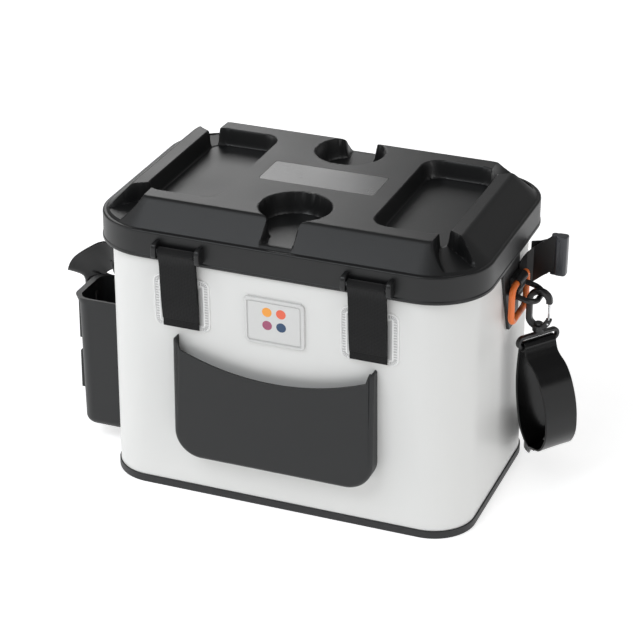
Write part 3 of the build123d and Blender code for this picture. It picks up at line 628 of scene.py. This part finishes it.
def cupDistance(x, y):
    # Distance outside the nearer cup's circle joined to its channel, which widens towards the edge.
    s = lidSizes
    far = np.abs(y)
    circle = np.hypot(x, far - s["cupOffset"]) - s["cupRadius"]
    past = np.maximum(far - s["slotFrom"], 0)
    half = s["slotNear"] + past * (s["slotFar"] - s["slotNear"]) / s["slotRun"]
    channel = np.where(far > s["cupOffset"], np.abs(x) - half, farOff)
    return softMin(circle, channel, s["softChannel"])


def pastLine(x, y, line):
    # Distance past a line of the plan, (point x, point y, run x, run y): the cross product with its run,
    # over the run's length.
    pointX, pointY, runX, runY = line
    return ((y - pointY) * runX - (x - pointX) * runY) / math.hypot(runX, runY)


def valleyHeight(x, y):
    # Height of a corner valley: a bed that falls to the corner, between the strip that slopes down from
    # the long side and the bar that slopes down from the tray. x and y are distances from the middle.
    s = lidSizes
    rise = s["deck"] - s["rim"]
    stripFoot = s["stripEdge"] + (y - s["trayHalfDepth"]) * s["stripSpread"] / s["stripRun"]
    stripFoot = np.maximum(stripFoot, s["stripLeast"])
    strip = s["deck"] - rise * (x - s["stripEdge"]) / (stripFoot - s["stripEdge"])
    pastTop, pastFoot = pastLine(x, y, s["barTop"]), pastLine(x, y, s["barFoot"])
    bar = s["deck"] - rise * pastTop / np.maximum(pastTop - pastFoot, s["barLeast"])
    bed = s["trayFloor"] - s["bedFall"] * ((x - s["bedFrom"][0]) + (y - s["bedFrom"][1]))
    bed = softMax(bed, np.full_like(x, s["rim"]), s["softBed"])
    valley = softMax(bed, softMax(strip, bar, s["softBar"]), s["softValley"])
    return np.where((x < s["valleyFrom"][0]) | (y < s["valleyFrom"][1]), s["deck"] + farOff, valley)


def deckHeight(x, y):
    # Bevel, flat deck, trays, cups, channels, corner valleys and the plate's bed as one height over the
    # plan. Each is a slope of the distance from its outline, and they meet in rounded minima.
    s = lidSizes
    inside = -boxDistance(x, y, *deckPlan())
    bevel = s["rim"] + inside * (s["deck"] - s["rim"]) / s["bevelRun"]
    tray = s["trayFloor"] + softMax(0.0, trayDistance(x, y) / s["trayDraft"], s["softTray"])
    cup = s["cupFloor"] + softMax(0.0, cupDistance(x, y) * s["cupSteep"], s["softCup"])
    offPlate = boxDistance(x, y, s["plateWidth"] / 2, s["plateDepth"] / 2, s["plateCorner"])
    height = softMin(bevel, np.full_like(x, s["deck"]), s["softBevel"])
    height = softMin(height, tray, s["softTrayLip"])
    height = softMin(height, cup, s["softCupLip"])
    height = softMin(height, valleyHeight(np.abs(x), np.abs(y)), s["softValleyLip"])
    return np.minimum(height, np.where(offPlate < 0, s["deck"] - s["plateSunk"], s["deck"] + farOff))


def addSkirt(shell):
    # The inner wall, lower lip, bead, rim face, rounded top and ledge: one profile of (inset, height,
    # rounding), carried round the bead's outline.
    s = lidSizes
    beadTop = s["foot"] + s["beadHeight"]
    inner, ledge = s["bead"] + s["wall"], s["bead"] + s["ledge"]
    lapIn, lapUp = s["lap"]
    profile = softPath([(inner, s["wallTop"], 0), (inner, s["foot"], 0.5), (0.0, s["foot"], 0.8),
                        (0.0, beadTop, 0.8), (s["bead"], beadTop + s["beadSlope"], 0.4),
                        (s["bead"], s["rim"], 2.2), (ledge, s["rim"], 0.8),
                        (ledge + lapIn, s["rim"] + lapUp, 0)])
    inset, height = profile[:, 0], profile[:, 1]
    rings = np.stack([s["width"] - 2 * inset, s["depth"] - 2 * inset, s["corner"] - inset, height], axis=1)
    rings[-1, 3] -= s["tuck"]
    shell.grid(roundedLoops(rings, outlineParts(*s["skirtPoints"])), around=True, flip=True)


def addLug(shell, middle, end):
    # A lug: a plate with rounded edges standing out of the rim, which holds the end of a bar.
    s = lugSizes
    outline = evenly(softPath(s["outline"], s["bend"], True), s["step"], True)
    points = plate(outline, s["thickness"], s["edge"])
    across = points[:, :, 2] + middle - s["thickness"] / 2
    shape = np.stack([across, end * points[:, :, 0], points[:, :, 1]], axis=2)
    shell.grid(shape, around=True, flip=end < 0, capStart=True, capEnd=True)


def makeLid():
    # The deck is a grid whose corners are bent round and whose lines are snapped to the trays and cups.
    s = lidSizes
    halfX, halfY, corner = deckPlan()
    x, y = np.meshgrid(spacedLines(s["runsAcross"], halfX), spacedLines(s["runsAlong"], halfY))
    x, y = squareToRounded(x, y, halfX, halfY, corner)
    for distance, level in ((trayDistance, 0.0), (trayDistance, trayFall()),
                            (cupDistance, 0.0), (cupDistance, s["cupLip"])):
        x, y = snapTo(x, y, distance, level, s["snap"])
    shell = surfaceSet()
    shell.grid(np.stack([x, y, deckHeight(x, y)], axis=2))
    addSkirt(shell)
    for end in (-1, 1):
        for side in (-1, 1):
            for edge in (-1, 1):
                addLug(shell, side * lugSizes["middle"] + edge * lugSizes["apart"], end)
    shell.build("lidMoulding", paints["lid"], "lid", ("lid_shell",), s["sharp"])


print("lid")
makeLid()


# Body and foot.

bodySizes = {
    "low": (380.0, 235.0, 43.5, 3.0), "high": (377.0, 263.6, 56.0, 259.5),  # width, depth, corner, height
    "wall": 5.0, "mouthRound": 1.2, "bend": 5, "points": (22, 30, 20), "sharp": 40.0,
}
footSizes = {
    "proud": 1.5, "height": 8.8, "edge": 1.2, "topRound": 1.0, "innerRound": 0.4, "innerHeight": 5.0,
    "groovePitch": 20.0, "grooveWidth": 7.0, "grooveDepth": 1.2, "grooveSide": 0.8,
    "grooveEnds": 30.0, "grooveMargin": 40.0,
    "runsAcross": [(0, 8), (152, 0.5), (162, 4)], "runsAlong": [(0, 0.62)],
}


def bodyRing(height, inset=0.0):
    # The body's rounded rectangle at a height, linear between the low one and the high one.
    low, high = np.array(bodySizes["low"]), np.array(bodySizes["high"])
    share = (height - low[3]) / (high[3] - low[3])
    width, depth, corner, _ = low + share * (high - low)
    return [width - 2 * inset, depth - 2 * inset, corner - inset, height]


def wallFrame(end, along, height):
    # Origin and axes on the outer face of the front wall, end -1, or the rear one, end 1: x level along
    # the wall, y up it, z outwards. The wall leans by half the change of depth over the rise.
    low, high = bodySizes["low"], bodySizes["high"]
    lean = (high[1] - low[1]) / 2 / (high[3] - low[3])
    depth = bodyRing(height)[1]
    zWay = unit(np.array([0, end, -lean]))
    xWay = np.array([-end, 0, 0])
    return np.array([along, end * depth / 2, height]), xWay, np.cross(zWay, xWay), zWay


def makeBody():
    # A profile of (inset, height, rounding), up the inner wall, over the mouth and down the outer wall.
    s = bodySizes
    wall, bottom, top = s["wall"], s["low"][3], s["high"][3]
    profile = softPath([(wall, bottom, 0), (wall, top, s["mouthRound"]), (0.0, top, s["mouthRound"]),
                        (0.0, bottom, 0)], s["bend"])
    rings = [bodyRing(z, inset) for inset, z in profile]
    body = surfaceSet()
    body.grid(roundedLoops(rings, outlineParts(*s["points"])), around=True)
    body.build("bodyShell", paints["foam"], "bag", ("body_wall",), s["sharp"])


def makeFoot():
    # The side is a profile of (inset, height, rounding) outside the body's low ring. The underside is a
    # height over the plan: the grooves' depth, with a steep ramp at their sides and ends.
    s = footSizes
    width, depth, corner, _ = bodyRing(bodySizes["low"][3])
    proud, top, edge = s["proud"], s["height"], s["edge"]
    foot = surfaceSet()
    profile = softPath([(edge, 0.0, 0), (0.0, 0.0, edge), (0.0, top, s["topRound"]),
                        (edge, top, s["innerRound"]), (edge, s["innerHeight"], 0)], bodySizes["bend"])
    rings = [[width + 2 * (proud - inset), depth + 2 * (proud - inset), corner + proud - inset, z]
             for inset, z in profile]
    foot.grid(roundedLoops(rings, outlineParts(*bodySizes["points"])), around=True)
    halfX, halfY = width / 2 + proud - edge, depth / 2 + proud - edge
    lines = np.meshgrid(spacedLines(s["runsAcross"], halfX), spacedLines(s["runsAlong"], halfY))
    x, y = squareToRounded(*lines, halfX, halfY, corner + proud - edge)
    pitch, ramp = s["groovePitch"], s["grooveSide"]
    count = 2 * int((depth - s["grooveMargin"]) // (2 * pitch))
    offMiddle = np.abs((y / pitch) % 1 - 0.5) * pitch
    groove = np.clip((s["grooveWidth"] / 2 - offMiddle) / ramp + 0.5, 0, 1)
    groove *= np.clip((width / 2 - s["grooveEnds"] - np.abs(x)) / ramp + 0.5, 0, 1)
    groove *= np.abs(y) < count * pitch / 2
    foot.grid(np.stack([x, y, s["grooveDepth"] * groove], axis=2), flip=True)
    foot.build("footTray", paints["foot"], "bag", ("foot_cup",), bodySizes["sharp"])


print("body")
makeBody()
makeFoot()


# Webbing straps and clear patches.

webSizes = {
    "width": 38.0, "thickness": 1.55, "edge": 0.45, "columns": 14, "step": 1.4, "bend": 8, "sharp": 50.0,
    "bar": (140.5, 273.0), "turn": 3.85, "turnFrom": 196, "turnTo": -14, "turnPoints": 22,
    # (distance from the middle, height, rounding) of the hanging layers, the inner one from its cut end
    "inner": [(131.95, 191.0, 0), (134.6, 238.0, 14), (138.2, 262.0, 6)],
    "outer": [(140.05, 262.0, 5), (137.6, 232.0, 12), (136.0, 214.0, 8), (133.6, 200.0, 0)],
}


def webbingStrap(side, end, name, body, node):
    # One strap folded round its bar: a band up the inner layer, round the bar on a circle, and down the
    # outer layer, which stops short.
    s = webSizes
    barY, barZ = s["bar"]
    turn = np.radians(np.linspace(s["turnFrom"], s["turnTo"], s["turnPoints"]))
    over = np.stack([barY + s["turn"] * np.cos(turn), barZ + s["turn"] * np.sin(turn)], axis=1)
    first = softPath([*s["inner"], (*over[0], 0)], s["bend"])
    last = softPath([(*over[-1], 0), *s["outer"]], s["bend"])
    path = evenly(np.vstack([first[:-1], over, last[1:]]), s["step"])
    points = np.stack([np.full(len(path), side * lugSizes["middle"]), end * path[:, 0], path[:, 1]], axis=1)
    across = np.tile([1.0, 0, 0], (len(path), 1))
    shape, uv = band(points, across, s["width"], s["thickness"], s["edge"], s["columns"])
    strap = surfaceSet()
    strap.grid(shape, around=True, flip=end > 0, uv=uv, capStart=True, capEnd=True)
    strap.build(name, paints["webbing"], body, (node,), s["sharp"])


patchSizes = {
    "width": 58.5, "height": 57.0, "middle": 216.5, "corner": 8.0, "lift": 0.1,
    "cornerPoints": 10, "step": 0.55, "sharp": 30.0,
    # (inset, height) of the bead round the edge, then of the weld at the border's inner line
    "bead": [(0, 0), (0, 0.5), (0.35, 1.15), (0.9, 1.4), (1.5, 1.15), (1.9, 0.8), (2.6, 0.85)],
    "border": 6.5,
    "weld": [(-1.6, 0.85), (-0.9, 1.05), (-0.4, 1.3), (0.1, 1.3), (0.6, 1.0), (1.0, 0.8)],
}


def wallPatch(side, end, name, node):
    # Clear welded film: a profile of (inset, height) carried round a rounded rectangle, and a flat middle.
    # The UV is the distance in from the edge and the length along it.
    s = patchSizes
    outline = roundedOutline(s["width"], s["height"], s["corner"], s["cornerPoints"])
    outline = evenly(outline, s["step"], True)
    profile = np.vstack([s["bead"], np.array(s["weld"]) + (s["border"], 0)])
    shape = stacked(outline, leftOf(outline), profile[:, 0], profile[:, 1])
    uv = np.stack(np.broadcast_arrays(profile[:, 0][:, None], lengthsAlong(outline)[None]), axis=2)
    origin, xWay, yWay, zWay = wallFrame(end, side * lugSizes["middle"], s["middle"])
    film = surfaceSet()
    film.grid(placed(shape, origin + zWay * s["lift"], xWay, yWay, zWay), around=True, uv=uv, capEnd=True)
    film.build(name, paints["film"], "bag", (node,), s["sharp"])


print("webbing and patches")
for side, word in ((-1, "left"), (1, "right")):
    webbingStrap(side, -1, "frontStrap_" + word, "front_strap_" + word, "front_strap_" + word)
    webbingStrap(side, 1, "hingeWebbing_" + word, "bag", "hinge_webbing_" + word)
    wallPatch(side, -1, "frontPatch_" + word, "front_patch_" + word)
    wallPatch(side, 1, "rearPatch_" + word, "rear_patch_" + word)


# Shoulder strap.

strapSizes = {
    "width": 39.0, "thickness": 2.2, "edge": 0.8, "step": 3.0, "sharp": 50.0,
    # each fold round a slotted bar: the bar's middle and the strap's turn about z, in degrees
    "foldRadius": 4.6, "foldPoints": 40,
    "folds": [((219.77, 20, 162.84), 54.2), ((-219.77, 20, 162.84), 0.0)],
}

# Stations of the strap's middle line, each with the direction across the strap there.
strapStations = {
    # down from the right bar, under the side, round the back, up the left side and over to the left bar
    "longRun": [
        (223.3, 17.3, 162.8, 0.585, 0.811, 0), (226.3, 15.8, 152.8, 0.585, 0.811, 0),
        (237, 9.5, 142, 0.585, 0.811, 0), (247.5, 7.5, 115, 0.585, 0.811, 0),
        (251.5, 8.5, 86, 0.585, 0.811, 0), (250, 12, 66, 0.585, 0.811, 0),
        (243, 20, 51, 0.585, 0.811, 0), (235, 29, 46, 0.585, 0.811, 0),
        (226, 41, 44, 0.5, 0.7, 0.35), (214, 51, 41, 0.2, 0.4, 0.85), (203, 63, 38, 0.05, 0.15, 1),
        (197, 87, 39, 0, 0, 1), (196, 116, 45, 0, 0, 1), (184, 144, 55, 0, 0, 1), (160, 160, 66, 0, 0, 1),
        (136, 164.5, 72.75, 0, 0, 1), (96, 164.5, 80.25, 0, 0, 1), (40, 163.5, 87, 0, 0, 1),
        (-20, 163, 92, 0, 0, 1), (-75, 164, 96, 0, 0, 1), (-125, 167, 98, 0, 0, 1),
        (-170, 164, 98.5, 0, 0, 1), (-206, 153, 98, 0, 0, 1), (-236, 131, 98, 0, 0, 1),
        (-258, 105, 98, 0, 0, 1), (-273, 80, 102, 0, 0, 1), (-281, 62, 113, 0, 0, 1),
        (-285.5, 47, 127, -0.05, -0.1, 1), (-285, 36, 139.2, -0.1, -0.3, 0.95),
        (-281, 33, 151, -0.15, -0.38, 0.92), (-273, 32, 159.6, -0.17, -0.42, 0.89),
        (-263.4, 32, 166.5, -0.17, -0.42, 0.89), (-251.3, 31.5, 171.9, -0.17, -0.3, 0.89),
        (-238, 28.4, 166, -0.1, -0.03, 0.97), (-222, 26.75, 159, 0, 0, 1), (-200, 26.75, 153, 0, 0, 1),
    ],
    # the right side's inner layer, from the bar down to where it lies on the long run
    "tail": [
        (216.3, 22.7, 162.8, 0.585, 0.811, 0), (215.3, 23.7, 150.8, 0.585, 0.811, 0),
        (214, 26, 122, 0.585, 0.811, 0), (216, 27.5, 92, 0.585, 0.811, 0), (220, 31, 66, 0.585, 0.811, 0),
        (224, 35, 54, 0.6, 0.8, 0.1), (227, 40.5, 48.5, 0.5, 0.7, 0.3),
    ],
    # the left side's sewn end
    "sewnEnd": [(-219.8, 24.6, 162.8, 1, 0, 0), (-219.8, 24.6, 142, 1, 0, 0), (-219.8, 24.6, 122, 1, 0, 0)],
}


def addBand(strap, path, across):
    # A capped band of the strap's own section.
    s = strapSizes
    shape, uv = band(path, across, s["width"], s["thickness"], s["edge"])
    strap.grid(shape, around=True, uv=uv, capStart=True, capEnd=True)


def addFold(strap, middle, turn):
    # The strap's turn round a slotted bar: a band along a full circle in the plane across the bar.
    s = strapSizes
    angle = np.radians(np.linspace(0, 360, s["foldPoints"]))
    barWay = np.array([math.cos(turn), math.sin(turn), 0])
    sideWay = np.array([math.sin(turn), -math.cos(turn), 0])
    downWay = np.array([0, 0, -1.0])
    circle = np.cos(angle)[:, None] * sideWay + np.sin(angle)[:, None] * downWay
    addBand(strap, np.array(middle) + s["foldRadius"] * circle, np.tile(barWay, (len(angle), 1)))


def makeStrap():
    # A band along each run's curve, and the two folds.
    s = strapSizes
    strap = surfaceSet()
    for stations in strapStations.values():
        path = throughPoints(stations, s["step"])
        addBand(strap, path[:, :3], path[:, 3:])
    for middle, turn in s["folds"]:
        addFold(strap, middle, math.radians(turn))
    strap.build("shoulderStrap", paints["strap"], "bag", ("shoulder_strap",), s["sharp"])


print("shoulder strap")
makeStrap()


# Moulded fittings: node, piece, material, body and slot. A pair's names end in right or left.

fittings = [
    ("front_pouch", "frontPouch", "pouch", "bag", "pouch_rubber"),
    ("side_holder", "sideHolder", "pouch", "bag", "pouch_rubber"),
    ("badge", "wallBadge", "badge", "bag", "badge_rubber"),
    ("lid_plate", "lidPlate", "plate", "lid", "plate_plastic"),
    ("side_belt", "sideBelt", "tab", "bag", "webbing"),
    ("belt_buckle", "beltBuckle", "buckle", "belt_buckle", "frame_plastic"),
    ("strap_slider", "strapSlider", "hard", "bag", "frame_plastic"),
    ("rim_frame", "rimFrame", "hard", "bag", "frame_plastic"),
]
pairedFittings = [
    ("side_tab_", "sideTab_", "tab", "bag", "tab_rubber"),
    ("ring_keeper_", "ringKeeper_", "tab", "bag", "webbing"),
    ("strap_hoop_", "strapHoop_", "hard", "hoop_", "frame_plastic"),
    ("side_ring_", "sideRing_", "orange", "ring_", "ring_plastic"),
    ("snap_hook_", "snapHook_", "hard", "hook_", "frame_plastic"),
    ("hook_gate_", "hookGate_", "steel", "gate_", "steel"),
    ("swivel_slide_", "swivelSlide_", "hard", "bag", "frame_plastic"),
]

print("fittings")
for node, name, paint, body, slot in fittings:
    smoothCopy(node, name, paints[paint], body)
for word in ("right", "left"):
    for node, name, paint, body, slot in pairedFittings:
        smoothCopy(node + word, name + word, paints[paint], body if body == "bag" else body + word)


# Hidden and small pieces keep their shape and take the same materials.

plainPieces = {
    "floor_panel": "liner", "lid_liner": "liner",
    "front_strap_bars": "steel", "rear_hinge_bars": "steel",
    "gate_pin_right": "steel", "gate_pin_left": "steel",
    "front_hook_pads": "webbing", "rear_backing_pads": "webbing",
}
for node, key in plainPieces.items():
    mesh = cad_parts[node].data
    mesh.materials.clear()
    mesh.materials.append(paints[key])


# Camera, floor and light. The camera is in degrees and millimetres, the rest in metres and watts.

cameraSizes = {
    "azimuth": 20.742, "elevation": 26.343, "roll": 0.492, "distance": 2317.219,
    "target": (0.0, 0.0, 150.0), "shiftRight": 2.608, "shiftUp": -5.556, "lens": 128.45, "sensor": 36.0,
}
floorSizes = {"half": 6.0, "color": (0.93, 0.93, 0.93), "roughness": 0.9, "glow": 0.6}
lamps = {
    "frontSheet": {"spot": (-0.9, -1.7, 2.3), "aim": (0, 0, 0.15), "size": (1.8, 1.4), "power": 30,
                   "color": (0.93, 0.965, 1.0)},
    "leftSheet": {"spot": (-2.2, -0.6, 1.0), "aim": (0, 0, 0.15), "size": (1.2, 1.4), "power": 11},
    "rightSheet": {"spot": (2.2, -0.8, 1.3), "aim": (0, 0, 0.15), "size": (1.2, 1.4), "power": 13},
    "backSheet": {"spot": (-1.1, 1.84, 1.3), "aim": (0, 0, 0.3), "size": (0.95, 0.8), "power": 7.5},
}
worldStrength = 0.24


def placeCamera():
    # The camera stands at distance from the target along the azimuth and elevation, is rolled about its
    # own axis, and then moved so that the picture is centred as it should be.
    s = cameraSizes
    azimuth, elevation, roll = (math.radians(s[key]) for key in ("azimuth", "elevation", "roll"))
    back = Vector((math.sin(azimuth) * math.cos(elevation), -math.cos(azimuth) * math.cos(elevation),
                   math.sin(elevation)))
    right = Vector((math.cos(azimuth), math.sin(azimuth), 0))
    up = back.cross(right)
    across = right * math.cos(roll) + up * math.sin(roll)
    upwards = -right * math.sin(roll) + up * math.cos(roll)
    spot = Vector(s["target"]) + back * s["distance"] - across * s["shiftRight"] - upwards * s["shiftUp"]
    data = bpy.data.cameras.new("photoCamera")
    data.lens, data.sensor_width = s["lens"], s["sensor"]
    camera = bpy.data.objects.new("photoCamera", data)
    turn = Matrix((across, upwards, back)).transposed().to_4x4()
    camera.matrix_world = Matrix.Translation(spot * mm) @ turn
    bpy.context.scene.collection.objects.link(camera)
    bpy.context.scene.camera = camera


def softLamp(name, spot, aim, size, power, color=(1, 1, 1)):
    # A soft rectangle of light that faces its aim.
    data = bpy.data.lights.new(name, "AREA")
    data.shape, data.size, data.size_y = "RECTANGLE", size[0], size[1]
    data.energy, data.color = power, color
    lamp = bpy.data.objects.new(name, data)
    lamp.location = spot
    lamp.rotation_euler = (Vector(aim) - Vector(spot)).to_track_quat("-Z", "Y").to_euler()
    bpy.context.scene.collection.objects.link(lamp)


def makeFloor():
    # One square, faintly lit from itself so that it stays near white.
    s = floorSizes
    half = s["half"]
    mesh = bpy.data.meshes.new("floor")
    corners = [(-half, -half, 0), (half, -half, 0), (half, half, 0), (-half, half, 0)]
    mesh.from_pydata(corners, [], [(0, 1, 2, 3)])
    paint = paintPot("floorPaper", s["color"], s["roughness"],
                     Emission_Color=(1, 1, 1, 1), Emission_Strength=s["glow"])
    mesh.materials.append(paint.material)
    floor = bpy.data.objects.new("floor", mesh)
    bpy.context.scene.collection.objects.link(floor)


def makeWorld():
    # Even white light from all round.
    world = bpy.data.worlds.new("studio")
    world.use_nodes = True
    background = world.node_tree.nodes["Background"]
    background.inputs["Color"].default_value = (1, 1, 1, 1)
    background.inputs["Strength"].default_value = worldStrength
    bpy.context.scene.view_settings.view_transform = "Standard"
    bpy.context.scene.world = world


print("camera and light")
placeCamera()
makeFloor()
for name, sizes in lamps.items():
    softLamp(name, **sizes)
makeWorld()
